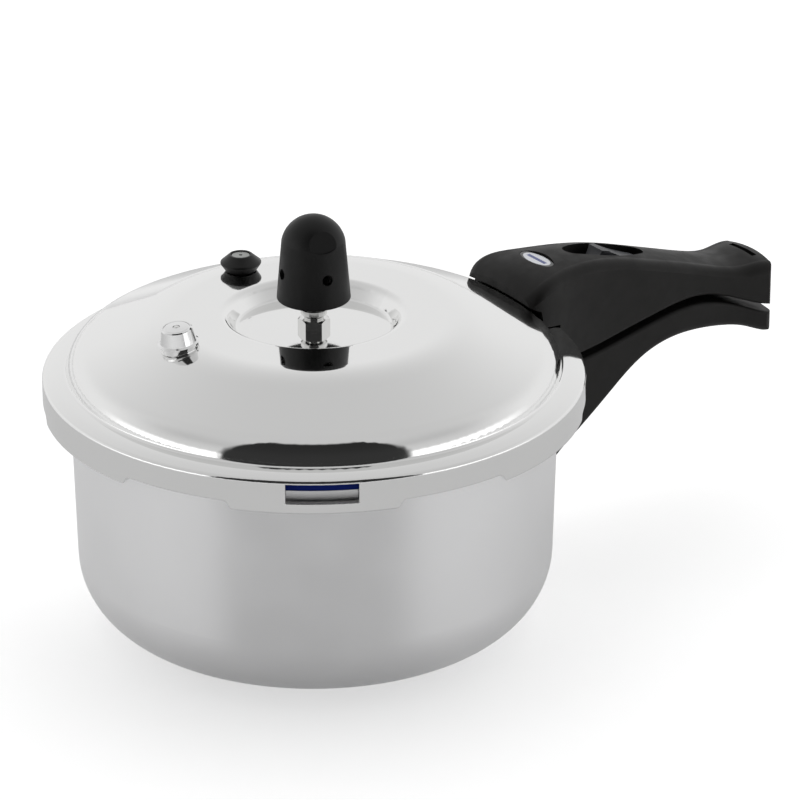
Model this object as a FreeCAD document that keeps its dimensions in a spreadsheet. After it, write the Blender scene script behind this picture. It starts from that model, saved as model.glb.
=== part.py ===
"""Stovetop pressure cooker, 22 cm, as an assembly of separate pieces.

Frame: millimetres, origin at the centre of the pot's base, +Z up, the long handles along +X.
Every driving size is a cell of the sheet named Size. Each piece is one object with its own label.
"""
import FreeCAD, Part
import math
import os
import re
import Sketcher

from FreeCAD import Placement, Rotation, Vector

SIZES = {
    # pot
    "pot_foot_radius": 108.2,
    "pot_mouth_radius": 110.9,
    "pot_wall": 3.0,
    "pot_corner": 34.0,
    "pot_flange_radius": 114.2,
    "pot_flange_bottom": 107.6,
    "pot_rim_height": 114.3,
    # bayonet: six lugs on the pot under six lugs on the lid
    "lug_count": 6,
    "lug_turn": 56.0,
    "pot_lug_reach": 119.0,
    "pot_lug_top": 114.0,
    "pot_lug_half_angle": 9.5,
    # lid
    "skirt_radius": 123.2,
    "skirt_wall": 2.8,
    "skirt_top": 120.0,
    "skirt_bottom": 104.6,
    "notch_edge": 108.8,
    "lip_radius": 115.0,
    "lip_top": 107.2,
    "notch_half_top": 23.5,
    "notch_half_bottom": 29.3,
    "window_half": 16.0,
    "window_bottom": 109.7,
    "window_top": 118.6,
    "ring_radius": 112.4,
    "ring_height": 122.3,
    "shoulder_radius": 111.2,
    "shoulder_round": 13.5,
    "crown_radius": 40.0,
    "crown_middle": 62.0,
    "crown_height": 148.0,
    "crown_edge": 77.7,
    "crest_radius": 39.8,
    "dish_radius": 35.4,
    "dish_height": 140.7,
    "lid_wall": 3.0,
    # gasket
    "gasket_radius": 119.9,
    "gasket_bottom": 114.6,
    "gasket_inner": 108.0,
    # handles, shared
    "grip_tip": 252.0,
    "grip_tip_bow": 90.0,
    "grip_tip_half": 20.8,
    "tip_corner": 5.6,
    # vent pipe and its fastening
    "vent_radius": 4.35,
    "vent_top": 176.0,
    "vent_bore": 1.6,
    "vent_neck_radius": 4.0,
    "vent_collar_radius": 6.0,
    "vent_nut_flats": 12.7,
    "vent_nut_height": 4.8,
    "strainer_radius": 9.0,
    "strainer_depth": 9.0,
    # regulator weight
    "weight_base_radius": 16.8,
    "weight_base": 155.0,
    "weight_shoulder_radius": 14.4,
    "weight_shoulder": 183.0,
    "weight_top": 194.8,
    "weight_wall": 3.0,
    "weight_hole_radius": 2.5,
    "weight_hole_height": 169.0,
    "flat_lean": 20.0,
    "core_radius": 11.0,
    "core_bore": 4.7,
    # relief valve, heights from the lid's surface
    "relief_reach": 70.0,
    "relief_angle": 177.0,
    "relief_seat": 147.1,
    "relief_tilt": 7.0,
    "relief_skirt_radius": 8.6,
    "relief_skirt_depth": 1.0,
    "relief_flange_radius": 9.25,
    "relief_top_radius": 7.0,
    "relief_height": 9.4,
    "relief_stem_radius": 4.9,
    "relief_chamber": 4.6,
    # rubber plug and pressure indicator, heights from the lid's surface
    "plug_reach": 61.0,
    "plug_angle": 89.3,
    "plug_seat": 148.0,
    "plug_tilt": 1.0,
    "plug_radius": 9.4,
    "plug_top_radius": 5.35,
    "plug_height": 7.8,
    "plug_neck_radius": 5.4,
    "pin_radius": 1.8,
    # lock slider and bolt
    "slot_centre": 163.5,
    "slot_length_half": 22.5,
    "slot_width_half": 9.5,
    "slot_floor": 127.0,
    "slider_centre": 167.5,
    "slider_length_half": 14.0,
    "slider_width_half": 6.5,
    "bolt_half_width": 4.0,
    "bolt_thickness": 2.4,
    "bolt_tip": 133.0,
    "bolt_foot": 102.0,
    "bolt_strip": 118.0,
    # pot handle bracket
    "bracket_face": 110.8,
    "bracket_half": 12.5,
    "bracket_sheet": 2.0,
    "rivet_radius": 2.4,
    "rivet_spread": 9.0,
    "rivet_low": 65.0,
    "rivet_high": 83.0,
    "badge_centre": 125.0,
}

# Handle sections: distance from the axis, half width, underside, crown height.
UPPER_GRIP = [
    (103.5, 24.0, 100.5, 137.6),
    (110.0, 26.5, 100.5, 142.7),
    (125.0, 22.5, 100.5, 145.3),
    (145.0, 18.5, 101.0, 144.6),
    (165.0, 17.0, 104.4, 141.2),
    (185.0, 16.5, 108.4, 135.4),
    (203.0, 16.0, 110.9, 129.8),
    (220.0, 16.5, 109.3, 124.4),
    (236.0, 18.5, 103.4, 121.0),
    (258.0, 21.5, 98.2, 118.6),
]
LOWER_GRIP = [
    (111.0, 19.0, 41.5, 96.5),
    (125.0, 18.0, 49.5, 96.4),
    (141.0, 17.0, 61.0, 97.0),
    (158.0, 16.5, 74.0, 99.8),
    (175.0, 16.0, 86.0, 103.4),
    (192.0, 16.0, 92.3, 106.8),
    (208.0, 16.0, 93.4, 107.9),
    (224.0, 16.5, 92.0, 105.2),
    (238.0, 18.5, 89.0, 99.8),
    (258.0, 21.5, 85.3, 95.0),
]

doc = FreeCAD.newDocument("pressure_cooker")
sheet = doc.addObject("Spreadsheet::Sheet", "Size")
pieces = []


def fill_sheet():
    for row, (name, size) in enumerate(SIZES.items(), start=1):
        sheet.set("A%d" % row, name)
        sheet.set("B%d" % row, str(size))
        sheet.setAlias("B%d" % row, name)
    doc.recompute()


def number(expression):
    """Value that an expression over the sheet has now."""
    if isinstance(expression, (int, float)):
        return float(expression)
    return float(sheet.evalExpression(expression))


def cells(expression):
    """The same expression as other objects write it, with each alias under the sheet's name."""
    if isinstance(expression, (int, float)):
        return str(expression)
    return re.sub("[a-z_]+", lambda word: "Size." * (word.group() in SIZES) + word.group(), expression)


def bind(thing, path, expression):
    thing.setExpression(path, cells(expression))


def new_body(name):
    body = doc.addObject("PartDesign::Body", name)
    body.Label = name
    pieces.append(body)
    return body


def origin_item(body, role):
    return [item for item in body.Origin.OriginFeatures if item.Role == role][0]


def new_sketch(body, name, role="XZ_Plane", lift=None, turn=None):
    """Empty sketch on a plane of the body's origin, lifted along the plane's normal or turned in it."""
    sketch = body.newObject("Sketcher::SketchObject", name)
    sketch.AttachmentSupport = (origin_item(body, role), [""])
    sketch.MapMode = "FlatFace"
    if turn is not None:
        rotation = Rotation(Vector(0, 1, 0), number(turn))
        offset = rotation.multVec(Vector(0, 0, number(lift or 0)))
        sketch.AttachmentOffset = Placement(offset, rotation)
    elif lift is not None:
        bind(sketch, "AttachmentOffset.Base.z", lift)
    return sketch


def fix_point(sketch, geometry, end, x, y):
    """Dimension one end of a line or arc from the sketch's origin."""
    for kind, axis, wanted in (("DistanceX", -2, x), ("DistanceY", -1, y)):
        if wanted == 0:
            sketch.addConstraint(Sketcher.Constraint("PointOnObject", geometry, end, axis))
            continue
        sketch.addConstraint(Sketcher.Constraint(kind, -1, 1, geometry, end, number(wanted)))
        if not isinstance(wanted, (int, float)):
            bind(sketch, "Constraints[%d]" % (sketch.ConstraintCount - 1), wanted)


def arc_between(start, end, radius, bow):
    """Arc from start to end. bow 1 bulges to the left of the way, -1 to the right."""
    half = (end - start).Length / 2
    way = (end - start).normalize()
    left = Vector(-way.y, way.x, 0)
    centre = (start + end) / 2 - left * bow * math.sqrt(radius * radius - half * half)
    first, last = (end, start) if bow == 1 else (start, end)
    angles = [math.atan2(p.y - centre.y, p.x - centre.x) for p in (first, last)]
    circle = Part.Circle(centre, Vector(0, 0, 1), radius)
    return Part.ArcOfCircle(circle, angles[0], angles[1])


def outline(sketch, corners):
    """Closed outline. A corner is (x, y), or (x, y, radius, bow) where an arc leads to the next."""
    points = [Vector(number(c[0]), number(c[1]), 0) for c in corners]
    ends = []
    for index, corner in enumerate(corners):
        start, end = points[index], points[(index + 1) % len(points)]
        if len(corner) == 4:
            shape = arc_between(start, end, number(corner[2]), corner[3])
            ends.append((2, 1) if corner[3] == 1 else (1, 2))
        else:
            shape = Part.LineSegment(start, end)
            ends.append((1, 2))
        sketch.addGeometry(shape, False)
    base = sketch.GeometryCount - len(corners)
    for index, corner in enumerate(corners):
        following = (index + 1) % len(corners)
        joint = Sketcher.Constraint(
            "Coincident", base + index, ends[index][1], base + following, ends[following][0])
        sketch.addConstraint(joint)
        fix_point(sketch, base + index, ends[index][0], corner[0], corner[1])
        if len(corner) == 4:
            sketch.addConstraint(Sketcher.Constraint("Radius", base + index, number(corner[2])))
            if not isinstance(corner[2], (int, float)):
                bind(sketch, "Constraints[%d]" % (sketch.ConstraintCount - 1), corner[2])


def circle(sketch, radius, x=0, y=0):
    sketch.addGeometry(Part.Circle(Vector(number(x), number(y), 0), Vector(0, 0, 1), number(radius)))
    geometry = sketch.GeometryCount - 1
    fix_point(sketch, geometry, 3, x, y)
    sketch.addConstraint(Sketcher.Constraint("Radius", geometry, number(radius)))
    if not isinstance(radius, (int, float)):
        bind(sketch, "Constraints[%d]" % (sketch.ConstraintCount - 1), radius)


def oval(sketch, centre, length_half, width_half, level=0):
    """Near ellipse of four arcs, long along x."""
    middle = number(level)
    along, across = number(length_half), number(width_half)
    rise, reach = 0.4 * across, 0.2 * along
    side = ((0.8 * along) ** 2 + rise ** 2) / (2 * rise)
    nose = ((0.6 * across) ** 2 + reach ** 2) / (2 * reach)
    low, high = number(centre) - 0.8 * along, number(centre) + 0.8 * along
    outline(sketch, [
        (low, middle - 0.6 * across, side, -1),
        (high, middle - 0.6 * across, nose, -1),
        (high, middle + 0.6 * across, side, -1),
        (low, middle + 0.6 * across, nose, -1),
    ])


def block(sketch, x_low, x_high, y_low, y_high):
    outline(sketch, [(x_low, y_low), (x_high, y_low), (x_high, y_high), (x_low, y_high)])


def lathe(body, name, corners):
    """Solid turned about Z from an outline of (radius, height) corners."""
    sketch = new_sketch(body, name + "_outline")
    outline(sketch, corners)
    turned = body.newObject("PartDesign::Revolution", name)
    turned.Profile = sketch
    turned.ReferenceAxis = (sketch, ["V_Axis"])
    turned.Angle = 360
    doc.recompute()
    return turned


def turn_away(body, name, corners):
    """Groove about Z that removes an outline of (radius, height) corners."""
    before = body.Shape.Volume
    sketch = new_sketch(body, name + "_outline")
    outline(sketch, corners)
    groove = body.newObject("PartDesign::Groove", name)
    groove.Profile = sketch
    groove.ReferenceAxis = (sketch, ["V_Axis"])
    groove.Angle = 360
    doc.recompute()
    removed(body, before, name)
    return groove


def removed(body, before, name):
    if body.Shape.Volume > before - 1e-3:
        raise ValueError(name + " cut nothing")


def pad(body, sketch, name, length, centred=False, back=False):
    feature = body.newObject("PartDesign::Pad", name)
    feature.Profile = sketch
    bind(feature, "Length", length)
    feature.Midplane = centred
    feature.Reversed = back
    doc.recompute()
    return feature


def pocket(body, sketch, name, length, centred=False, back=False):
    before = body.Shape.Volume
    feature = body.newObject("PartDesign::Pocket", name)
    feature.Profile = sketch
    feature.Type = "Length"
    bind(feature, "Length", length)
    feature.Midplane = centred
    feature.Reversed = back
    doc.recompute()
    removed(body, before, name)
    return feature


def ring_pattern(body, name, feature, count):
    pattern = body.newObject("PartDesign::PolarPattern", name)
    pattern.Originals = [feature]
    pattern.Axis = (origin_item(body, "Z_Axis"), [""])
    pattern.Angle = 360
    bind(pattern, "Occurrences", count)
    body.Tip = pattern
    doc.recompute()
    return pattern


def round_rings(body, name, radius, rings):
    """Fillet the circular edges at the given (radius, height) pairs."""
    base = body.Tip
    picked = []
    for index, edge in enumerate(base.Shape.Edges, start=1):
        if edge.Degenerated or not isinstance(edge.Curve, Part.Circle):
            continue
        curve = edge.Curve
        for ring_radius, height in rings:
            same = abs(curve.Radius - number(ring_radius)) < 0.05
            if same and abs(curve.Center.z - number(height)) < 0.05:
                picked.append("Edge%d" % index)
    if not picked:
        raise ValueError(name + " found no edge")
    fillet = body.newObject("PartDesign::Fillet", name)
    fillet.Base = (base, picked)
    bind(fillet, "Radius", radius)
    doc.recompute()
    return fillet


def box_cut(body, name, x_low, x_high, half, z_low, z_high):
    """Remove a box that is centred on the XZ plane."""
    sketch = new_sketch(body, name + "_outline")
    block(sketch, x_low, x_high, z_low, z_high)
    return pocket(body, sketch, name, "2 * (%s)" % half if isinstance(half, str) else 2 * half, centred=True)


def box_add(body, name, x_low, x_high, half, z_low, z_high):
    """Add a box that is centred on the XZ plane."""
    sketch = new_sketch(body, name + "_outline")
    block(sketch, x_low, x_high, z_low, z_high)
    return pad(body, sketch, name, "2 * (%s)" % half if isinstance(half, str) else 2 * half, centred=True)


def seat_placement(reach, angle, seat, tilt):
    """Place on the lid at a radius and angle, leaning outwards by the tilt."""
    direction = math.radians(number(angle))
    lean_axis = Vector(-math.sin(direction), math.cos(direction), 0)
    place = Vector(number(reach) * math.cos(direction), number(reach) * math.sin(direction), number(seat))
    return Placement(place, Rotation(lean_axis, number(tilt)))


RELIEF = ("relief_reach", "relief_angle", "relief_seat", "relief_tilt")
PLUG = ("plug_reach", "plug_angle", "plug_seat", "plug_tilt")


# ---------------------------------------------------------------- pot

def make_pot_body():
    body = new_body("pot_body")
    lathe(body, "wall", [
        (0, 0),
        ("pot_foot_radius", 0),
        ("pot_mouth_radius", "pot_flange_bottom"),
        ("pot_flange_radius", "pot_flange_bottom"),
        ("pot_flange_radius", "pot_rim_height"),
        ("pot_mouth_radius - pot_wall", "pot_rim_height"),
        ("pot_foot_radius - pot_wall", "pot_wall"),
        (0, "pot_wall"),
    ])
    round_rings(body, "outer_corner", "pot_corner", [("pot_foot_radius", 0)])
    inner = ("pot_foot_radius - pot_wall", "pot_wall")
    round_rings(body, "inner_corner", "pot_corner - pot_wall", [inner])
    rim = [("pot_flange_radius", "pot_rim_height"), ("pot_mouth_radius - pot_wall", "pot_rim_height")]
    round_rings(body, "rim_round", 0.8, rim)
    sketch = new_sketch(body, "lug_outline", "XY_Plane", lift="pot_flange_bottom")
    start = number("pot_lug_reach") * math.cos(math.radians(number("pot_lug_half_angle")))
    side = number("pot_lug_reach") * math.sin(math.radians(number("pot_lug_half_angle")))
    outline(sketch, [
        (112.6, -side),
        (start, -side, "pot_lug_reach", -1),
        (start, side),
        (112.6, side),
    ])
    turn_sketch(sketch, "lug_turn")
    lug = pad(body, sketch, "lug", "pot_lug_top - pot_flange_bottom")
    ring_pattern(body, "lugs", lug, "lug_count")
    for index, (across, height) in enumerate(rivet_spots(), start=1):
        sketch = new_sketch(body, "rivet_hole_%d_outline" % index, "YZ_Plane")
        circle(sketch, "rivet_radius + 0.05", across, height)
        pocket(body, sketch, "rivet_hole_%d" % index, 130, back=True)


def turn_sketch(sketch, angle):
    """Turn a sketch that lies on the XY plane about Z."""
    offset = sketch.AttachmentOffset
    offset.Rotation = Rotation(Vector(0, 0, 1), number(angle))
    sketch.AttachmentOffset = offset
    doc.recompute()


def rivet_spots():
    return [(side * number("rivet_spread"), number(height))
            for side in (-1, 1) for height in ("rivet_low", "rivet_high")]


def make_lower_bracket():
    """Bent steel plate on the pot's wall, with a flange on top and an arm into the handle."""
    body = new_body("lower_handle_bracket")
    sheet_end = "bracket_face + bracket_sheet"
    box_add(body, "plate", "bracket_face", sheet_end, "bracket_half", 58, 92)
    box_add(body, "flange", sheet_end, 124.5, "bracket_half", 90, 92)
    box_add(body, "arm", sheet_end, 149, 4.8, 73, 78)
    for index, (across, height) in enumerate(rivet_spots(), start=1):
        sketch = new_sketch(body, "rivet_hole_%d_outline" % index, "YZ_Plane")
        circle(sketch, "rivet_radius + 0.05", across, height)
        pocket(body, sketch, "rivet_hole_%d" % index, 130, back=True)
    sketch = new_sketch(body, "screw_hole_outline", "XY_Plane", lift=70)
    circle(sketch, 2.55, 139, 0)
    pocket(body, sketch, "screw_hole", 12, back=True)


def make_rivets():
    """Four rivets, heads inside the pot and outside the bracket."""
    solids = []
    for across, height in rivet_spots():
        inside = math.sqrt((number("pot_mouth_radius - pot_wall") - 1.9) ** 2 - across ** 2)
        outside = number("bracket_face + bracket_sheet")
        shank = Part.makeCylinder(number("rivet_radius"), outside - inside, Vector(inside, across, height),
                                  Vector(1, 0, 0))
        inner = Part.makeSphere(6, Vector(inside + 4.2, across, height))
        inner_keep = Part.makeCylinder(6, 3, Vector(inside - 3, across, height), Vector(1, 0, 0))
        outer = Part.makeSphere(6, Vector(outside - 4.2, across, height))
        outer_keep = Part.makeCylinder(6, 3, Vector(outside, across, height), Vector(1, 0, 0))
        solids.append(shank.fuse([inner.common(inner_keep), outer.common(outer_keep)]).removeSplitter())
    feature = doc.addObject("Part::Feature", "bracket_rivets")
    feature.Label = "bracket_rivets"
    feature.Shape = Part.makeCompound(solids)
    pieces.append(feature)


def make_lock_catch():
    """Upright tab with an open notch that holds the lock bolt."""
    body = new_body("lock_catch")
    box_add(body, "foot", 113.5, 127.2, 11, 92.05, 94.05)
    box_add(body, "tab", 125.2, 127.2, 11, 94.05, 103.6)
    box_cut(body, "notch", 124, 128, "bolt_half_width + 0.8", 100.4, 104)


def grip_sections(body, stations, edge, roll):
    """Loft through rounded sections across the handle, its top edges rolled over by a width."""
    sketches = []
    for index, (distance, half, low, top) in enumerate(stations, start=1):
        roll_top = top - 0.2 * roll
        sketch = new_sketch(body, "section_%d" % index, "YZ_Plane", lift=distance)
        crown = (half - roll) ** 2 / (0.5 * roll)
        outline(sketch, [
            (-half + edge, low),
            (half - edge, low, edge, -1),
            (half, low + edge),
            (half, top - 0.92 * roll, 1.07 * roll, -1),
            (half - roll, roll_top, crown, -1),
            (-half + roll, roll_top, 1.07 * roll, -1),
            (-half, top - 0.92 * roll),
            (-half, low + edge, edge, -1),
        ])
        sketches.append(sketch)
    loft = body.newObject("PartDesign::AdditiveLoft", "grip")
    loft.Profile = sketches[0]
    loft.Sections = sketches[1:]
    loft.Ruled = False
    doc.recompute()


def cut_tip(body):
    """Bow the handle's free end and round its corners."""
    past_tip = "grip_tip + 10"
    past_side = "grip_tip_half + 10"
    sketch = new_sketch(body, "tip_outline", "XY_Plane", lift=60)
    outline(sketch, [
        ("grip_tip - tip_corner", "-grip_tip_half", "tip_corner", -1),
        ("grip_tip", "tip_corner - grip_tip_half", "grip_tip_bow", -1),
        ("grip_tip", "grip_tip_half - tip_corner", "tip_corner", -1),
        ("grip_tip - tip_corner", "grip_tip_half"),
        ("grip_tip - tip_corner", past_side),
        (past_tip, past_side),
        (past_tip, "-(%s)" % past_side),
        ("grip_tip - tip_corner", "-(%s)" % past_side),
    ])
    pocket(body, sketch, "tip", 100, back=True)


def make_lower_handle():
    body = new_body("lower_handle")
    grip_sections(body, LOWER_GRIP, 4.0, 2.0)
    cut_tip(body)
    sketch = new_sketch(body, "heel_outline")
    outline(sketch, [(246.5, 85.8, 6.2, -1), (253.2, 92.0), (260, 92.0), (260, 80), (246.5, 80)])
    pocket(body, sketch, "heel", 60, centred=True)
    turn_away(body, "pot_side", [(0, 30), (113.3, 30), (113.3, 104), (0, 104)])
    box_cut(body, "bracket_seat", 112, 116.4, 14.5, 56, 98)
    box_cut(body, "arm_slot", 112, 151, 5.2, 72.6, 78.4)
    box_cut(body, "catch_slot", 112, 128.6, 14.5, 89.6, 98)
    for name, radius, low, length in (("screw_bore", 2.6, 40, 44), ("screw_sink", 4.6, 40, 26.6)):
        sketch = new_sketch(body, name + "_outline", "XY_Plane", lift=low)
        circle(sketch, radius, 139, 0)
        pocket(body, sketch, name, length, back=True)


def make_lower_screw():
    body = new_body("lower_handle_screw")
    lathe(body, "screw", [
        (0, 63.6), (4.2, 63.6), (4.2, 65.4), (3.4, 66.6), (2.5, 66.6), (2.5, 83), (1.8, 83.8), (0, 83.8)])
    body.Placement = Placement(Vector(139, 0, 0), Rotation())
    box_cut(body, "drive", -3, 3, 0.5, 63, 64.7)


# ---------------------------------------------------------------- lid

def crown(distance, inset=0):
    """Height of the crown's arc at a distance from the axis, on a surface inset from the outer one."""
    across = "(%s - crown_middle)" % distance
    return "crown_height - crown_radius + sqrt((crown_radius - %s) ^ 2 - %s ^ 2)" % (inset, across)


def crown_slope():
    across = "(crown_edge - crown_middle)"
    return "%s / sqrt(crown_radius ^ 2 - %s ^ 2)" % (across, across)


def shoulder():
    """Height of the corner where the crown's straight outer band ends."""
    return "%s - (shoulder_radius - crown_edge) * %s" % (crown("crown_edge"), crown_slope())


def make_lid_shell():
    body = new_body("lid_shell")
    inner_edge = "crown_middle + (crown_edge - crown_middle) * (1 - lid_wall / crown_radius)"
    inner_corner = ("shoulder_radius - 2.9", shoulder() + " - 2.1")
    lathe(body, "spun", [
        ("vent_radius + 0.15", "dish_height"),
        ("dish_radius", "dish_height"),
        ("crest_radius", "crown_height"),
        ("crown_middle", "crown_height", "crown_radius", 1),
        ("crown_edge", crown("crown_edge")),
        ("shoulder_radius", shoulder()),
        ("ring_radius", "ring_height", 40, 1),
        ("skirt_radius", "skirt_top"),
        ("skirt_radius", "skirt_bottom"),
        ("lip_radius", "skirt_bottom"),
        ("lip_radius", "lip_top"),
        ("skirt_radius - skirt_wall", "lip_top"),
        ("skirt_radius - skirt_wall", "skirt_top - 2.4"),
        ("ring_radius - 3.1", "ring_height - 2.4"),
        inner_corner,
        (inner_edge, crown("(%s)" % inner_edge, "lid_wall"), "crown_radius - lid_wall", -1),
        ("crown_middle", "crown_height - lid_wall"),
        ("crest_radius + 1.9", "crown_height - lid_wall"),
        ("dish_radius + 2.5", "dish_height - lid_wall"),
        ("vent_radius + 0.15", "dish_height - lid_wall"),
    ])
    round_rings(body, "shoulder", "shoulder_round", [("shoulder_radius", shoulder())])
    round_rings(body, "crest", 5.0, [("crest_radius", "crown_height")])
    round_rings(body, "dish_corner", 1.6, [("dish_radius", "dish_height")])
    round_rings(body, "ring_corner", 1.2, [("ring_radius", "ring_height")])
    round_rings(body, "inner_shoulder", "shoulder_round - lid_wall", [inner_corner])
    round_rings(body, "skirt_top_round", 1.6, [("skirt_radius", "skirt_top")])
    round_rings(body, "skirt_bottom_round", 1.1, [("skirt_radius", "skirt_bottom")])
    lid_hole(body, "relief_hole", RELIEF, "relief_stem_radius + 0.6", -10)
    lid_hole(body, "relief_counterbore", RELIEF, "relief_skirt_radius + 0.15", -1.05)
    lid_hole(body, "plug_hole", PLUG, "plug_neck_radius + 0.5", -10)
    cut_notches(body)
    sketch = new_sketch(body, "window_outline", turn="lug_turn + 91.5")
    block(sketch, "-window_half", "window_half", "window_bottom", "window_top")
    pocket(body, sketch, "window", 135)


def lid_hole(body, name, seat, radius, low):
    """Hole through the crown, or a flat-bottomed seat in it, along a fitting's own axis."""
    clear_of_crown = 8
    sketch = new_sketch(body, name + "_outline", "XY_Plane")
    sketch.AttachmentOffset = seat_placement(*seat).multiply(Placement(Vector(0, 0, low), Rotation()))
    circle(sketch, radius)
    pocket(body, sketch, name, clear_of_crown - low, back=True)


def cut_notches(body):
    """Six gaps in the skirt's lower edge leave six lugs with curved ends."""
    sketch = new_sketch(body, "notch_outline", turn="lug_turn - 60")
    mid = "(notch_half_top + notch_half_bottom) / 2"
    level = "(notch_edge + skirt_bottom) / 2"
    outline(sketch, [
        ("-notch_half_bottom", 103),
        ("notch_half_bottom", 103),
        ("notch_half_bottom", "skirt_bottom", 3.2, 1),
        (mid, level, 3.2, -1),
        ("notch_half_top", "notch_edge"),
        ("-notch_half_top", "notch_edge", 3.2, -1),
        ("-%s" % mid, level, 3.2, 1),
        ("-notch_half_bottom", "skirt_bottom"),
    ])
    notch = pocket(body, sketch, "notch", 135)
    ring_pattern(body, "notches", notch, "lug_count")


def make_gasket():
    body = new_body("lid_gasket")
    lathe(body, "ring", [
        ("gasket_inner", "gasket_bottom"),
        ("gasket_radius", "gasket_bottom"),
        ("gasket_radius", "gasket_bottom + 2.7"),
        ("gasket_radius - 8", "gasket_bottom + 4.3"),
        ("gasket_radius - 8", "gasket_bottom + 2.4"),
        ("gasket_inner", "gasket_bottom + 1.6"),
    ])


def make_upper_handle():
    body = new_body("upper_handle")
    grip_sections(body, UPPER_GRIP, 2.4, 6.0)
    cut_tip(body)
    turn_away(body, "lid_side", [
        (0, 60),
        (130.2, 60),
        (130.2, 105.4),
        ("skirt_radius + 0.6", 105.4),
        ("skirt_radius + 0.6", "skirt_top + 0.6"),
        ("ring_radius + 0.8", "ring_height + 0.6"),
        ("shoulder_radius + 0.5", shoulder() + " + 0.4"),
        ("crown_edge", crown("crown_edge") + " + 0.5"),
        (0, crown("crown_edge") + " + 0.5"),
    ])
    box_cut(body, "channel", 120, 189, "bolt_half_width + 0.5", 115, 121.3)
    box_cut(body, "leg_slot", 122, 147, "bolt_half_width + 0.5", 99, 118)
    box_cut(body, "boss_slot", 153.4, 172.6, 3.4, 120, 128)
    box_cut(body, "tongue_slot", 110, 140.4, 13.4, 121.9, 125.5)
    box_cut(body, "plate_slot", 110, 124.7, 13.4, 116, 122.5)
    sketch = new_sketch(body, "recess_outline", "XY_Plane", lift="slot_floor")
    oval(sketch, "slot_centre", "slot_length_half", "slot_width_half")
    pocket(body, sketch, "recess", 30, back=True)
    for index, side in enumerate((-1, 1), start=1):
        for name, radius, length in (("screw_bore", 2.1, 40), ("screw_sink", 3.8, 17)):
            label = "%s_%d" % (name, index)
            sketch = new_sketch(body, label + "_outline", "XY_Plane", lift=88)
            circle(sketch, radius, 136, side * 9.5)
            pocket(body, sketch, label, length, back=True)
    sketch = new_sketch(body, "badge_seat_outline", "XY_Plane", lift=143.5)
    badge_outline(sketch, 0.3)
    pocket(body, sketch, "badge_seat", 10, back=True)
    sketch = new_sketch(body, "hang_recess_outline", "XY_Plane", lift=113)
    outline(sketch, [(246.6, -9), (249.4, -9), (249.4, 9), (246.6, 9)])
    pocket(body, sketch, "hang_recess", 12, back=True)


def badge_outline(sketch, gap):
    """Oval across the handle, grown by the gap."""
    along, across = 5.0 + gap, 11.0 + gap
    rise, reach = 0.4 * along, 0.2 * across
    side = ((0.8 * across) ** 2 + rise ** 2) / (2 * rise)
    nose = ((0.6 * along) ** 2 + reach ** 2) / (2 * reach)
    centre = number("badge_centre")
    outline(sketch, [
        (centre + 0.6 * along, -0.8 * across, side, -1),
        (centre + 0.6 * along, 0.8 * across, nose, -1),
        (centre - 0.6 * along, 0.8 * across, side, -1),
        (centre - 0.6 * along, -0.8 * across, nose, -1),
    ])


def make_badge():
    body = new_body("handle_badge")
    sketch = new_sketch(body, "face_outline", "XY_Plane", lift=143.6)
    badge_outline(sketch, 0)
    pad(body, sketch, "face", 1.2)


def make_upper_bracket():
    """Steel tongue welded to the lid's ring, inside the handle."""
    body = new_body("upper_handle_bracket")
    sketch = new_sketch(body, "tongue_outline")
    outline(sketch, [
        (113.6, 122.7),
        (121.6, 120.8),
        (123.6, 122.4),
        (139.8, 122.4),
        (139.8, 124.4),
        (122.9, 124.4),
        (121.0, 122.9),
        (114.1, 124.6),
    ])
    pad(body, sketch, "tongue", 24, centred=True)
    for index, side in enumerate((-1, 1), start=1):
        sketch = new_sketch(body, "screw_hole_%d_outline" % index, "XY_Plane", lift=120)
        circle(sketch, 2.1, 136, side * 9.5)
        pocket(body, sketch, "screw_hole_%d" % index, 8, back=True)


def make_upper_screws():
    """Two screws from below the handle into the bracket."""
    solids = []
    for side in (-1, 1):
        centre = Vector(136, side * 9.5, 0)
        head = Part.makeCylinder(3.5, 2.6, centre + Vector(0, 0, 102.4))
        drive = Part.makeBox(5, 1, 1.2, centre + Vector(-2.5, -0.5, 102.4))
        shank = Part.makeCylinder(2.0, 22, centre + Vector(0, 0, 105))
        solids.append(head.fuse(shank).cut(drive).removeSplitter())
    feature = doc.addObject("Part::Feature", "upper_handle_screws")
    feature.Label = "upper_handle_screws"
    feature.Shape = Part.makeCompound(solids)
    pieces.append(feature)


# ---------------------------------------------------------------- vent pipe

def make_vent_pipe():
    body = new_body("vent_pipe")
    nut_top = "dish_height + vent_nut_height"
    lathe(body, "pipe", [
        ("vent_bore", 128),
        ("vent_radius", 128),
        ("vent_radius", nut_top),
        ("vent_radius", "dish_height + vent_nut_height + 0.8"),
        ("vent_collar_radius", "dish_height + vent_nut_height + 2.2"),
        ("vent_collar_radius", "dish_height + vent_nut_height + 4.4"),
        ("vent_neck_radius", "dish_height + vent_nut_height + 5.6"),
        ("vent_neck_radius", "vent_top - 1.2"),
        ("vent_bore + 1.1", "vent_top"),
        ("vent_bore", "vent_top"),
    ])


def hex_nut(name, flats, low, height, bore, chamfer=0.7):
    """Hexagon nut about Z with both rims chamfered."""
    body = new_body(name)
    sketch = new_sketch(body, "hexagon", "XY_Plane", lift=low)
    corner = number(flats) / math.sqrt(3)
    outline(sketch, [(corner * math.cos(math.radians(60 * k + 25)),
                      corner * math.sin(math.radians(60 * k + 25))) for k in range(6)])
    pad(body, sketch, "flats", height)
    sketch = new_sketch(body, "bore_outline", "XY_Plane", lift=low)
    circle(sketch, bore)
    pocket(body, sketch, "bore", height, back=True)
    edge, top = number(flats) / 2, "%s + %s" % (low, height)
    turn_away(body, "top_chamfer", [
        (edge, top), (edge + 3, "%s - %s" % (top, 3 * chamfer)), (edge + 3, top)])
    return body


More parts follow.
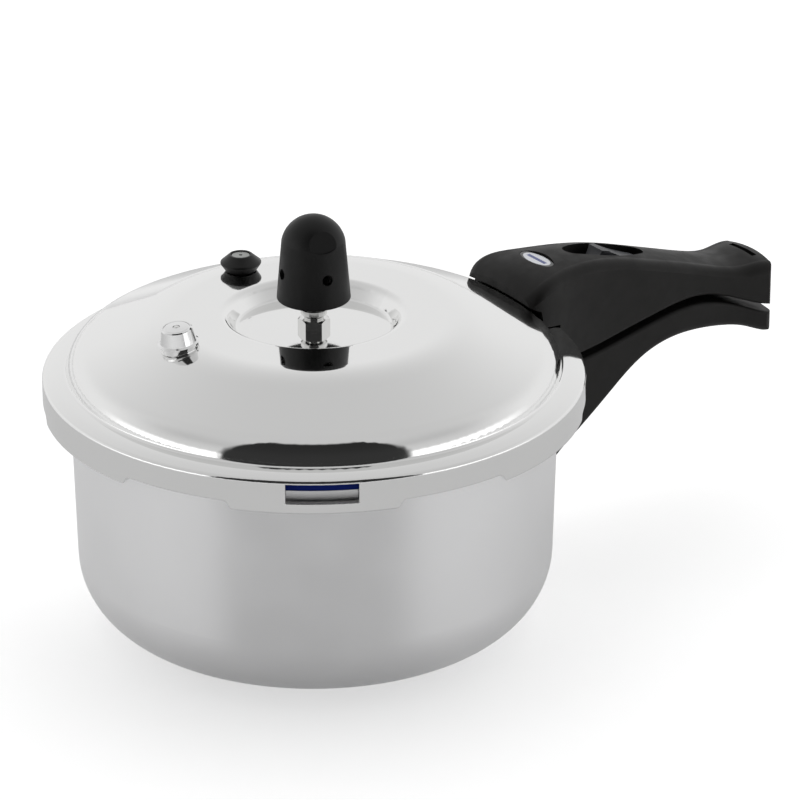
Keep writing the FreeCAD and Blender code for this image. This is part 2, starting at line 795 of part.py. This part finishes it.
def make_vent_fastening():
    hex_nut("vent_nut", "vent_nut_flats", "dish_height", "vent_nut_height", "vent_radius + 0.05")
    under = "dish_height - lid_wall"
    body = new_body("vent_seal")
    lathe(body, "ring", [
        ("vent_radius + 0.05", under + " - 1.2"), (8.5, under + " - 1.2"),
        (8.5, under), ("vent_radius + 0.05", under)])
    hex_nut("vent_inner_nut", 14.0, under + " - 4.7", 3.5, "vent_radius + 0.05")


def make_strainer():
    """Slotted cup that keeps food out of the pipe's mouth."""
    body = new_body("vent_strainer")
    top = "dish_height - lid_wall - 4.7"
    lathe(body, "cup", [
        (0, top + " - strainer_depth"),
        ("strainer_radius", top + " - strainer_depth"),
        ("strainer_radius", top),
        ("vent_radius + 0.05", top),
        ("vent_radius + 0.05", top + " - 0.8"),
        ("strainer_radius - 0.8", top + " - 0.8"),
        ("strainer_radius - 0.8", top + " - strainer_depth + 0.8"),
        (0, top + " - strainer_depth + 0.8"),
    ])
    sketch = new_sketch(body, "slot_outline")
    block(sketch, -1.1, 1.1, top + " - strainer_depth + 1.6", top + " - 2.2")
    slot = pocket(body, sketch, "slot", 12)
    ring_pattern(body, "slots", slot, 8)


# ---------------------------------------------------------------- regulator weight

def make_regulator_cap():
    body = new_body("regulator_cap")
    rise = "(weight_top - weight_shoulder)"
    dome = "(weight_shoulder_radius ^ 2 + %s ^ 2) / (2 * %s)" % (rise, rise)
    lathe(body, "cap", [
        (0, "weight_top - 10"),
        ("core_radius + 0.1", "weight_top - 10"),
        ("core_radius + 0.1", "weight_base + 17"),
        ("weight_base_radius - weight_wall", "weight_base + 14"),
        ("weight_base_radius - weight_wall", "weight_base"),
        ("weight_base_radius", "weight_base"),
        ("weight_shoulder_radius", "weight_shoulder", dome, -1),
        (0, "weight_top"),
    ])
    round_rings(body, "base_round", 0.9, [("weight_base_radius", "weight_base")])
    sketch = new_sketch(body, "steam_hole_outline", turn=80)
    circle(sketch, "weight_hole_radius", 0, "weight_hole_height")
    hole = pocket(body, sketch, "steam_hole", 20)
    ring_pattern(body, "steam_holes", hole, 4)
    sketch = new_sketch(body, "finger_flat_outline", turn=166)
    lean = Placement(Vector(0, number("weight_shoulder"), 0), Rotation(Vector(1, 0, 0), number("flat_lean")))
    depth = Placement(Vector(0, 0, number("2.2 - weight_shoulder_radius")), Rotation())
    sketch.AttachmentOffset = sketch.AttachmentOffset.multiply(lean).multiply(depth)
    oval(sketch, 0, 8.6, 6.4)
    flat = pocket(body, sketch, "finger_flat", 10)
    ring_pattern(body, "finger_flats", flat, 2)


def make_regulator_core():
    """Metal weight pressed into the cap, with a bore that drops over the vent pipe."""
    body = new_body("regulator_core")
    lathe(body, "core", [
        ("core_bore", "weight_base + 3.5"),
        ("core_bore + 2.6", "weight_base + 3.5"),
        ("core_bore + 2.6", "weight_base + 17.2"),
        ("core_radius", "weight_base + 17.2"),
        ("core_radius", "weight_top - 10"),
        (2.25, "weight_top - 10"),
        (2.25, "vent_top + 3"),
        ("core_bore", "vent_top + 3"),
    ])


def make_regulator_needle():
    """Pointed needle that closes the top of the vent pipe."""
    body = new_body("regulator_needle")
    lathe(body, "needle", [
        (0, "vent_top + 0.3"),
        (1.4, "vent_top + 2.2"),
        (2.2, "vent_top + 3.2"),
        (2.2, "weight_top - 10.1"),
        (0, "weight_top - 10.1"),
    ])


# ---------------------------------------------------------------- relief valve

def make_relief_body():
    body = new_body("relief_valve_body")
    lathe(body, "body", [
        (2.2, -9.5),
        ("relief_stem_radius", -9.5),
        ("relief_stem_radius", "-relief_skirt_depth"),
        ("relief_skirt_radius", "-relief_skirt_depth"),
        ("relief_skirt_radius", 1.1),
        ("relief_flange_radius", 1.5),
        ("relief_flange_radius", 2.2),
        ("relief_flange_radius - 0.9", 2.9),
        ("relief_top_radius", "relief_height - 0.5"),
        ("relief_top_radius - 0.4", "relief_height"),
        (6.0, "relief_height"),
        (6.0, "relief_height - 1.3"),
        ("relief_chamber", "relief_height - 1.3"),
        ("relief_chamber", 1.2),
        (2.2, 1.2),
    ])
    body.Placement = seat_placement(*RELIEF)


def make_relief_cap():
    body = new_body("relief_valve_cap")
    lathe(body, "cap", [
        (1.6, "relief_height - 1.3"),
        (5.95, "relief_height - 1.3"),
        (5.95, "relief_height - 0.2"),
        (5.5, "relief_height + 0.1"),
        (1.6, "relief_height + 0.3"),
    ])
    body.Placement = seat_placement(*RELIEF)


def make_relief_seal():
    body = new_body("relief_valve_seal")
    bore = "relief_stem_radius + 0.05"
    lathe(body, "seal", [(bore, -5.6), (7.6, -5.6), (7.6, -4.5), (bore, -4.5)])
    body.Placement = seat_placement(*RELIEF)


def make_relief_nut():
    body = hex_nut("relief_valve_nut", 15.0, -9.1, 3.5, "relief_stem_radius + 0.05")
    body.Placement = seat_placement(*RELIEF)


def make_relief_poppet():
    """Valve disc on its seat, with a rod that shows through the cap."""
    body = new_body("relief_poppet")
    lathe(body, "poppet", [
        (0, -1.0),
        (1.7, 0.2),
        (1.7, 1.5),
        (3.4, 1.5),
        (3.4, 2.5),
        (1.4, 2.5),
        (1.4, "relief_height + 0.1"),
        (0.9, "relief_height + 0.5"),
        (0, "relief_height + 0.5"),
    ])
    body.Placement = seat_placement(*RELIEF)


def make_relief_spring():
    """Closed-end compression spring around the poppet's rod."""
    wire, low, high, turns = 0.35, 3.0, number("relief_height - 1.3") - 0.5, 5
    coil = Part.makeHelix((high - low) / turns, high - low, 3.0)
    coil.translate(Vector(0, 0, low))
    start = Part.Wire(Part.Circle(Vector(3.0, 0, low), Vector(0, 1, 0), wire).toShape())
    feature = doc.addObject("Part::Feature", "relief_spring")
    feature.Label = "relief_spring"
    feature.Shape = Part.Wire(coil.Edges).makePipeShell([start], True, True)
    feature.Placement = seat_placement(*RELIEF)
    pieces.append(feature)


# ---------------------------------------------------------------- rubber plug and indicator

def make_plug():
    body = new_body("safety_plug")
    lathe(body, "plug", [
        ("pin_radius + 0.3", -6.4),
        (6.2, -6.4),
        (7.3, -4.4),
        ("plug_neck_radius", -4.2),
        ("plug_neck_radius", 0.3),
        (7.2, 0.3),
        ("plug_radius", 3.6),
        ("plug_radius", 4.3),
        ("plug_top_radius", "plug_height"),
        (4.5, "plug_height"),
        (4.5, "plug_height - 1.3"),
        ("pin_radius + 0.3", "plug_height - 1.3"),
    ])
    round_rings(body, "plug_round", 0.5, [("plug_radius", 3.6), ("plug_radius", 4.3)])
    body.Placement = seat_placement(*PLUG)


def make_indicator_pin():
    """Metal pin that pressure lifts through the plug."""
    body = new_body("indicator_pin")
    lathe(body, "pin", [
        (0, -11),
        (3.4, -11),
        (3.4, -9.6),
        ("pin_radius", -9.6),
        ("pin_radius", "plug_height - 1.0"),
        (4.1, "plug_height - 1.0"),
        (4.1, "plug_height - 0.4"),
        (0.8, "plug_height - 0.4"),
        (0.8, "plug_height - 1.4"),
        (0, "plug_height - 1.4"),
    ])
    body.Placement = seat_placement(*PLUG)


# ---------------------------------------------------------------- lock

def make_lock_slider():
    """Ribbed thumb piece with a boss through the handle."""
    body = new_body("lock_slider")
    sketch = new_sketch(body, "plan", "XY_Plane", lift="slot_floor + 0.4")
    oval(sketch, "slider_centre", "slider_length_half", "slider_width_half")
    pad(body, sketch, "thumb_piece", 15.6)
    sketch = new_sketch(body, "hill_outline")
    outline(sketch, [
        (153, 136.5, 9, -1),
        (159.2, 142.8),
        (162.5, 142.1, 60, -1),
        (182, 133.8),
        (183, 145),
        (152, 145),
    ])
    pocket(body, sketch, "hill", 20, centred=True)
    sketch = new_sketch(body, "rib_gaps_outline")
    for rib in range(9):
        near = 163.6 + 1.9 * rib
        level = 140.9 - 0.72 * rib
        block(sketch, near, near + 0.8, level, level + 3)
    pocket(body, sketch, "rib_gaps", 20, centred=True)
    box_add(body, "boss", 163, 171, 3.0, "bolt_strip + bolt_thickness", 130)
    sketch = new_sketch(body, "screw_hole_outline", "XY_Plane", lift=119)
    circle(sketch, 1.6, 167, 0)
    pocket(body, sketch, "screw_hole", 7.6, back=True)


def make_lock_bolt():
    """Steel strip from the slider down to a tongue that enters the catch."""
    body = new_body("lock_bolt")
    strip_top = "bolt_strip + bolt_thickness"
    sketch = new_sketch(body, "strip_outline")
    outline(sketch, [
        ("bolt_tip", "bolt_foot"),
        ("bolt_tip + 12", "bolt_foot"),
        ("bolt_tip + 12", "bolt_strip"),
        (176, "bolt_strip"),
        (176, strip_top),
        ("bolt_tip + 9.6", strip_top),
        ("bolt_tip + 9.6", "bolt_foot + bolt_thickness"),
        ("bolt_tip", "bolt_foot + bolt_thickness"),
    ])
    pad(body, sketch, "strip", "2 * bolt_half_width", centred=True)
    sketch = new_sketch(body, "screw_hole_outline", "XY_Plane", lift=117)
    circle(sketch, 1.6, 167, 0)
    pocket(body, sketch, "screw_hole", 6, back=True)


def make_slider_screw():
    body = new_body("slider_screw")
    lathe(body, "screw", [(0, 115.8), (2.8, 115.8), (2.8, 117.9), (1.5, 117.9), (1.5, 126), (0, 126)])
    body.Placement = Placement(Vector(167, 0, 0), Rotation())


def write_parts():
    doc.recompute()
    for thing in doc.Objects:
        if "Invalid" in thing.State or "Error" in thing.State:
            raise ValueError("%s failed: %s" % (thing.Name, thing.State))
    os.makedirs("parts", exist_ok=True)
    for piece in pieces:
        if piece.Shape.isNull() or not piece.Shape.isValid():
            raise ValueError(piece.Label + " has no valid shape")
        piece.Shape.exportStep("parts/%s.step" % piece.Label)


fill_sheet()
make_pot_body()
make_lower_bracket()
make_rivets()
make_lock_catch()
make_lower_handle()
make_lower_screw()
make_lid_shell()
make_gasket()
make_upper_handle()
make_badge()
make_upper_bracket()
make_upper_screws()
make_vent_pipe()
make_vent_fastening()
make_strainer()
make_regulator_cap()
make_regulator_core()
make_regulator_needle()
make_relief_body()
make_relief_cap()
make_relief_seal()
make_relief_nut()
make_relief_poppet()
make_relief_spring()
make_plug()
make_indicator_pin()
make_lock_slider()
make_lock_bolt()
make_slider_screw()
write_parts()
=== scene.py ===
"""Stovetop pressure cooker: finishes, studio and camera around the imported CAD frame."""

import bpy
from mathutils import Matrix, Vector


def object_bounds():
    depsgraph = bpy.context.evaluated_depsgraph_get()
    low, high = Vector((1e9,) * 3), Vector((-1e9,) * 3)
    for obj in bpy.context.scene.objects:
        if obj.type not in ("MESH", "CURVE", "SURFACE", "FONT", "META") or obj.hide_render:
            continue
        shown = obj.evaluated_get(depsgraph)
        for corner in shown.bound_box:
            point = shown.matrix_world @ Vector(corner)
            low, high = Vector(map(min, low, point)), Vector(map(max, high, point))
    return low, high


# ---------------------------------------------------------------- frame
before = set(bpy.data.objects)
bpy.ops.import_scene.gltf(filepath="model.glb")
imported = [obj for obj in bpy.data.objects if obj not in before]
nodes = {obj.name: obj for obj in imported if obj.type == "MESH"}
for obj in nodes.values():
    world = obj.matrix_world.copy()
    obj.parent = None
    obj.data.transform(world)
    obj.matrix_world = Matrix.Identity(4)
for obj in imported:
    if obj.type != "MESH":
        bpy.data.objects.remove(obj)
loaded_low, loaded_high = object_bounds()

# ---------------------------------------------------------------- camera in metres, lens and sensor in mm
CAMERA_PLACE = Vector((-1.1369, -1.6912, 0.9994))
CAMERA_TARGET = Vector((0.0318, -0.0223, 0.1047))
LENS = 220.3
SENSOR = 36.0
TOWARDS_CAMERA = Vector((CAMERA_PLACE.x, CAMERA_PLACE.y, 0)).normalized()

# ---------------------------------------------------------------- studio, metres and watts
TABLE_LIFT = 0.0004
PLANE_SIZE = 30
FADE_START, FADE_END = 0.45, 1.1
WALL_LIGHT, TOP_LIGHT = 0.86, 0.60
SHADE_DEPTH = 0.18
OPENING_DEPTH = 0.96
KEY_HEIGHT, KEY_SETBACK, KEY_SIZE, KEY_POWER = 2.4, 0.8, 2.4, 14


# ---------------------------------------------------------------- node helpers
class Graph:
    """A small writer for one node tree."""

    def __init__(self, tree):
        self.tree = tree
        tree.nodes.clear()

    def add(self, kind, inputs=None, **settings):
        node = self.tree.nodes.new(kind)
        for key, value in settings.items():
            setattr(node, key, value)
        for key, value in (inputs or {}).items():
            self.feed(node.inputs[key], value)
        return node

    def feed(self, socket, value):
        if isinstance(value, bpy.types.NodeSocket):
            self.tree.links.new(value, socket)
        else:
            socket.default_value = value

    def sum(self, operation, *values):
        node = self.add("ShaderNodeMath", operation=operation)
        for socket, value in zip(node.inputs, values):
            self.feed(socket, value)
        return node.outputs[0]

    def ease(self, value, start, end, low=0.0, high=1.0):
        node = self.add("ShaderNodeMapRange", interpolation_type="SMOOTHSTEP", inputs={
            "Value": value, "From Min": start, "From Max": end, "To Min": low, "To Max": high})
        return node.outputs[0]

    def along(self, vector, direction):
        node = self.add("ShaderNodeVectorMath", operation="DOT_PRODUCT")
        self.feed(node.inputs[0], vector)
        node.inputs[1].default_value = direction
        return node.outputs["Value"]

    def mix(self, share, first, second):
        node = self.add("ShaderNodeMix", data_type="RGBA")
        for socket, value in zip((node.inputs[0], node.inputs[6], node.inputs[7]), (share, first, second)):
            self.feed(socket, value)
        return node.outputs[2]

    def noise(self, place, scale, detail=3.0):
        return self.add("ShaderNodeTexNoise", inputs={
            "Vector": place, "Scale": scale, "Detail": detail}).outputs["Fac"]

    def bump(self, height, strength, distance, normal):
        node = self.add("ShaderNodeBump", inputs={
            "Height": height, "Strength": strength, "Distance": distance})
        if normal:
            self.feed(node.inputs["Normal"], normal)
        return node.outputs[0]


def grey(level, tint=(1.0, 1.0, 1.0)):
    return tuple(level * share for share in tint) + (1.0,)


# ---------------------------------------------------------------- finishes
def spun_rings(graph, place, pitch, along_axis):
    """Fine turning marks: rings round the cooker's axis, stepped outwards or upwards."""
    split = graph.add("ShaderNodeSeparateXYZ", inputs={"Vector": place})
    if along_axis:
        step = split.outputs["Z"]
    else:
        across = graph.add("ShaderNodeCombineXYZ", inputs={"X": split.outputs["X"], "Y": split.outputs["Y"]})
        step = graph.add("ShaderNodeVectorMath", operation="LENGTH", inputs={0: across.outputs[0]})
        step = step.outputs["Value"]
    line = graph.add("ShaderNodeCombineXYZ", inputs={"X": step})
    return graph.noise(line.outputs[0], 1.0 / pitch, 4.0)


def add_emblem_and_rim_shade(graph, paint):
    """Painted shade as a near-black ring round an oval plate where its rim groove lies, and a plain blue bar
    print along its longer axis, in shares of its box.
    """
    place = graph.add("ShaderNodeTexCoord").outputs["Generated"]
    short, long = (graph.sum("ABSOLUTE", graph.sum("SUBTRACT", graph.along(place, axis), 0.5))
                   for axis in ((1, 0, 0), (0, 1, 0)))
    span = graph.sum("SQRT", graph.sum("ADD", graph.sum("MULTIPLY", short, short),
                                       graph.sum("MULTIPLY", long, long)))
    bar = graph.sum("MULTIPLY", graph.ease(short, 0.11, 0.08), graph.ease(long, 0.33, 0.30))
    paint = graph.mix(bar, paint, (0.012, 0.035, 0.22, 1.0))
    # painted shade: near-black ring standing in for the shade in the badge's rim groove
    return graph.mix(graph.ease(span, 0.40, 0.43), paint, grey(0.012))


def finish_material(name, colour, metal, rough, rough_spread=0.05, stain=0.06, stain_scale=60.0,
                    grain=None, grain_scale=1500.0, grain_height=0.00002, rings=None, ring_height=0.000004,
                    coat=0.0, specular=0.5, stretch=0.0, badge_print_and_rim_shade=False, soften=0.0):
    """One procedural finish: clouded colour and gloss, fine grain, and turning marks where it was spun.

    A stretch draws reflections out along the turning marks, and soften rounds edge normals over a radius.
    """
    material = bpy.data.materials.new(name)
    material.use_nodes = True
    graph = Graph(material.node_tree)
    place = graph.add("ShaderNodeTexCoord").outputs["Object"]
    cloud = graph.noise(place, stain_scale, 4.0)
    low = grey(1.0 - stain, colour)
    high = grey(1.0 + stain, colour)
    paint = graph.mix(cloud, low, high)
    # badge: printed blue bar plus a painted-shade ring where its rim groove lies
    if badge_print_and_rim_shade:
        paint = add_emblem_and_rim_shade(graph, paint)
    shader = graph.add("ShaderNodeBsdfPrincipled", inputs={
        "Base Color": paint,
        "Metallic": metal,
        "Roughness": graph.ease(graph.noise(place, stain_scale * 2.3, 5.0), 0.25, 0.75,
                                rough - rough_spread, rough + rough_spread),
        "Coat Weight": coat,
        "Specular IOR Level": specular,
        "Anisotropic": stretch,
        "Anisotropic Rotation": 0.25,
    })
    if stretch:
        tangent = graph.add("ShaderNodeTangent", direction_type="RADIAL", axis="Z")
        graph.feed(shader.inputs["Tangent"], tangent.outputs[0])
    normal = None
    if soften:
        normal = graph.add("ShaderNodeBevel", samples=8, inputs={"Radius": soften}).outputs[0]
    if grain:
        normal = graph.bump(graph.noise(place, grain_scale, 3.0), grain, grain_height, normal)
    if rings:
        pitch, along_axis = rings
        normal = graph.bump(spun_rings(graph, place, pitch, along_axis), 1.0, ring_height, normal)
    if normal:
        graph.feed(shader.inputs["Normal"], normal)
    graph.add("ShaderNodeOutputMaterial", inputs={"Surface": shader.outputs[0]})
    return material


FINISHES = {
    "satin_aluminium": dict(colour=(0.94, 0.94, 0.945), metal=1.0, rough=0.36, rough_spread=0.03,
                            stain=0.012, stretch=0.8, stain_scale=14.0, rings=(0.0007, True),
                            ring_height=0.0000035),
    "polished_aluminium": dict(colour=(0.885, 0.885, 0.88), metal=1.0, rough=0.055, rough_spread=0.02,
                               stain=0.008, stain_scale=20.0, rings=(0.0008, False), ring_height=0.0000002,
                               soften=0.0009),
    "steel_sheet": dict(colour=(0.55, 0.55, 0.56), metal=1.0, rough=0.32, grain=0.4),
    "aluminium_rivet": dict(colour=(0.72, 0.72, 0.72), metal=1.0, rough=0.30, grain=0.2),
    "black_bakelite": dict(colour=(0.0075, 0.0070, 0.0065), metal=0.0, rough=0.50, specular=0.26,
                           rough_spread=0.06, stain=0.12, grain=0.35, grain_scale=1300.0,
                           grain_height=0.00006),
    "steel_screw": dict(colour=(0.50, 0.50, 0.51), metal=1.0, rough=0.30, grain=0.2),
    "badge_enamel": dict(colour=(0.74, 0.76, 0.80), metal=0.35, rough=0.25, grain=0.1, coat=0.4,
                         badge_print_and_rim_shade=True),
    "blue_silicone": dict(colour=(0.0004, 0.008, 0.105), metal=0.0, rough=0.45, specular=0.06,
                          stain=0.15, grain=0.2),
    "bright_steel": dict(colour=(0.78, 0.78, 0.77), metal=1.0, rough=0.12, rough_spread=0.03, grain=0.05),
    "black_rubber": dict(colour=(0.008, 0.008, 0.008), metal=0.0, rough=0.40, specular=0.35,
                         stain=0.15, grain=0.3),
    "black_phenolic": dict(colour=(0.006, 0.006, 0.006), metal=0.0, rough=0.44, specular=0.26,
                           rough_spread=0.05, stain=0.12, grain=0.3, grain_height=0.00004),
    "weight_steel": dict(colour=(0.12, 0.12, 0.12), metal=1.0, rough=0.38, grain=0.2),
    "chrome_fitting": dict(colour=(0.86, 0.86, 0.86), metal=1.0, rough=0.07, rough_spread=0.02, stain=0.02),
    "grey_metal": dict(colour=(0.42, 0.43, 0.42), metal=1.0, rough=0.42, grain=0.3),
    "slider_plastic": dict(colour=(0.050, 0.052, 0.058), metal=0.0, rough=0.42, stain=0.1, grain=0.3),
}
finishes = {slot: finish_material("finish_" + slot, **look) for slot, look in FINISHES.items()}
for node in nodes.values():
    for index, material in enumerate(node.data.materials):
        slot = material.name.split(".")[0]
        node.data.materials[index] = finishes[slot]


# ---------------------------------------------------------------- studio
def make_plane(name, height, paint_low, paint_high, glow, far=None):
    """A wide level plane with softly clouded paint, fading to another grey far from its middle."""
    bpy.ops.mesh.primitive_plane_add(size=PLANE_SIZE)
    floor = bpy.context.object
    floor.name = name
    floor.location.z = height
    material = bpy.data.materials.new(name + "_paint")
    material.use_nodes = True
    graph = Graph(material.node_tree)
    place = graph.add("ShaderNodeTexCoord").outputs["Object"]
    paint = graph.mix(graph.noise(place, 3.0), grey(paint_low), grey(paint_high))
    if far:
        distance = graph.add("ShaderNodeVectorMath", operation="LENGTH", inputs={"Vector": place})
        paint = graph.mix(graph.ease(distance.outputs["Value"], FADE_START, FADE_END), paint, grey(far))
    shader = graph.add("ShaderNodeBsdfPrincipled", inputs={
        "Base Color": paint, "Roughness": 0.9, "Specular IOR Level": 0.1,
        "Emission Color": paint, "Emission Strength": glow})
    graph.add("ShaderNodeOutputMaterial", inputs={"Surface": shader.outputs[0]})
    floor.data.materials.append(material)
    return floor


def make_floor():
    """Pale floor; polished metal mirrors a greyer table top lying on it."""
    floor = make_plane("floor", loaded_low.z - TABLE_LIFT, 0.90, 0.94, 0.5)
    floor.visible_glossy = False
    table = make_plane("table", loaded_low.z, 0.58, 0.62, 0.25, far=0.90)
    table.visible_camera = False
    table.visible_diffuse = False
    table.visible_shadow = False


def make_tent():
    """Soft light tent: bright walls, a greyer top, and a dark opening on the front side."""
    world = bpy.data.worlds.new("tent")
    bpy.context.scene.world = world
    world.use_nodes = True
    graph = Graph(world.node_tree)
    way = graph.add("ShaderNodeTexCoord").outputs["Generated"]
    rise = graph.along(way, (0, 0, 1))
    level = graph.sum("SQRT", graph.sum("SUBTRACT", 1.0, graph.sum("MULTIPLY", rise, rise)))
    level = graph.sum("MAXIMUM", level, 0.02)
    front = graph.sum("DIVIDE", graph.along(way, TOWARDS_CAMERA), level)
    walls = graph.ease(rise, 0.25, 1.0, WALL_LIGHT, TOP_LIGHT)
    sides = graph.sum("MULTIPLY", graph.ease(front, -0.45, 0.35), graph.ease(front, 0.78, 0.70))
    lamps = graph.sum("MULTIPLY", sides, graph.ease(rise, 0.30, 0.10))
    shade = graph.sum("MULTIPLY", sides, graph.ease(rise, 0.95, 0.60))
    lit = graph.sum("ADD", walls, lamps)
    lit = graph.sum("SUBTRACT", lit, graph.sum("MULTIPLY", shade, SHADE_DEPTH))
    opening = graph.sum("MULTIPLY", graph.ease(front, 0.70, 0.76), graph.ease(rise, 0.97, 0.93))
    left = graph.sum("SUBTRACT", 1.0, graph.sum("MULTIPLY", opening, OPENING_DEPTH))
    strength = graph.sum("MULTIPLY", lit, left)
    background = graph.add("ShaderNodeBackground", inputs={"Color": grey(1.0), "Strength": strength})
    graph.add("ShaderNodeOutputWorld", inputs={"Surface": background.outputs[0]})


def make_lamp(name, place, target, width, height, power):
    lamp = bpy.data.lights.new(name, "AREA")
    lamp.shape, lamp.size, lamp.size_y, lamp.energy = "RECTANGLE", width, height, power
    item = bpy.data.objects.new(name, lamp)
    item.location = place
    item.rotation_mode = "QUATERNION"
    item.rotation_quaternion = (target - place).to_track_quat("-Z", "Y")
    item.visible_glossy = False
    bpy.context.scene.collection.objects.link(item)


def make_camera():
    camera = bpy.data.cameras.new("camera")
    camera.lens, camera.sensor_width = LENS, SENSOR
    camera.clip_start, camera.clip_end = 0.05, 60.0
    item = bpy.data.objects.new("camera", camera)
    item.location = CAMERA_PLACE
    item.rotation_mode = "QUATERNION"
    item.rotation_quaternion = (CAMERA_TARGET - CAMERA_PLACE).to_track_quat("-Z", "Y")
    bpy.context.scene.collection.objects.link(item)
    bpy.context.scene.camera = item


make_floor()
make_tent()
middle = (loaded_low + loaded_high) / 2
key_place = middle + Vector((0, 0, KEY_HEIGHT)) - TOWARDS_CAMERA * KEY_SETBACK
make_lamp("key", key_place, middle, KEY_SIZE, KEY_SIZE, KEY_POWER)
make_camera()
bpy.context.scene.view_settings.view_transform = "Standard"
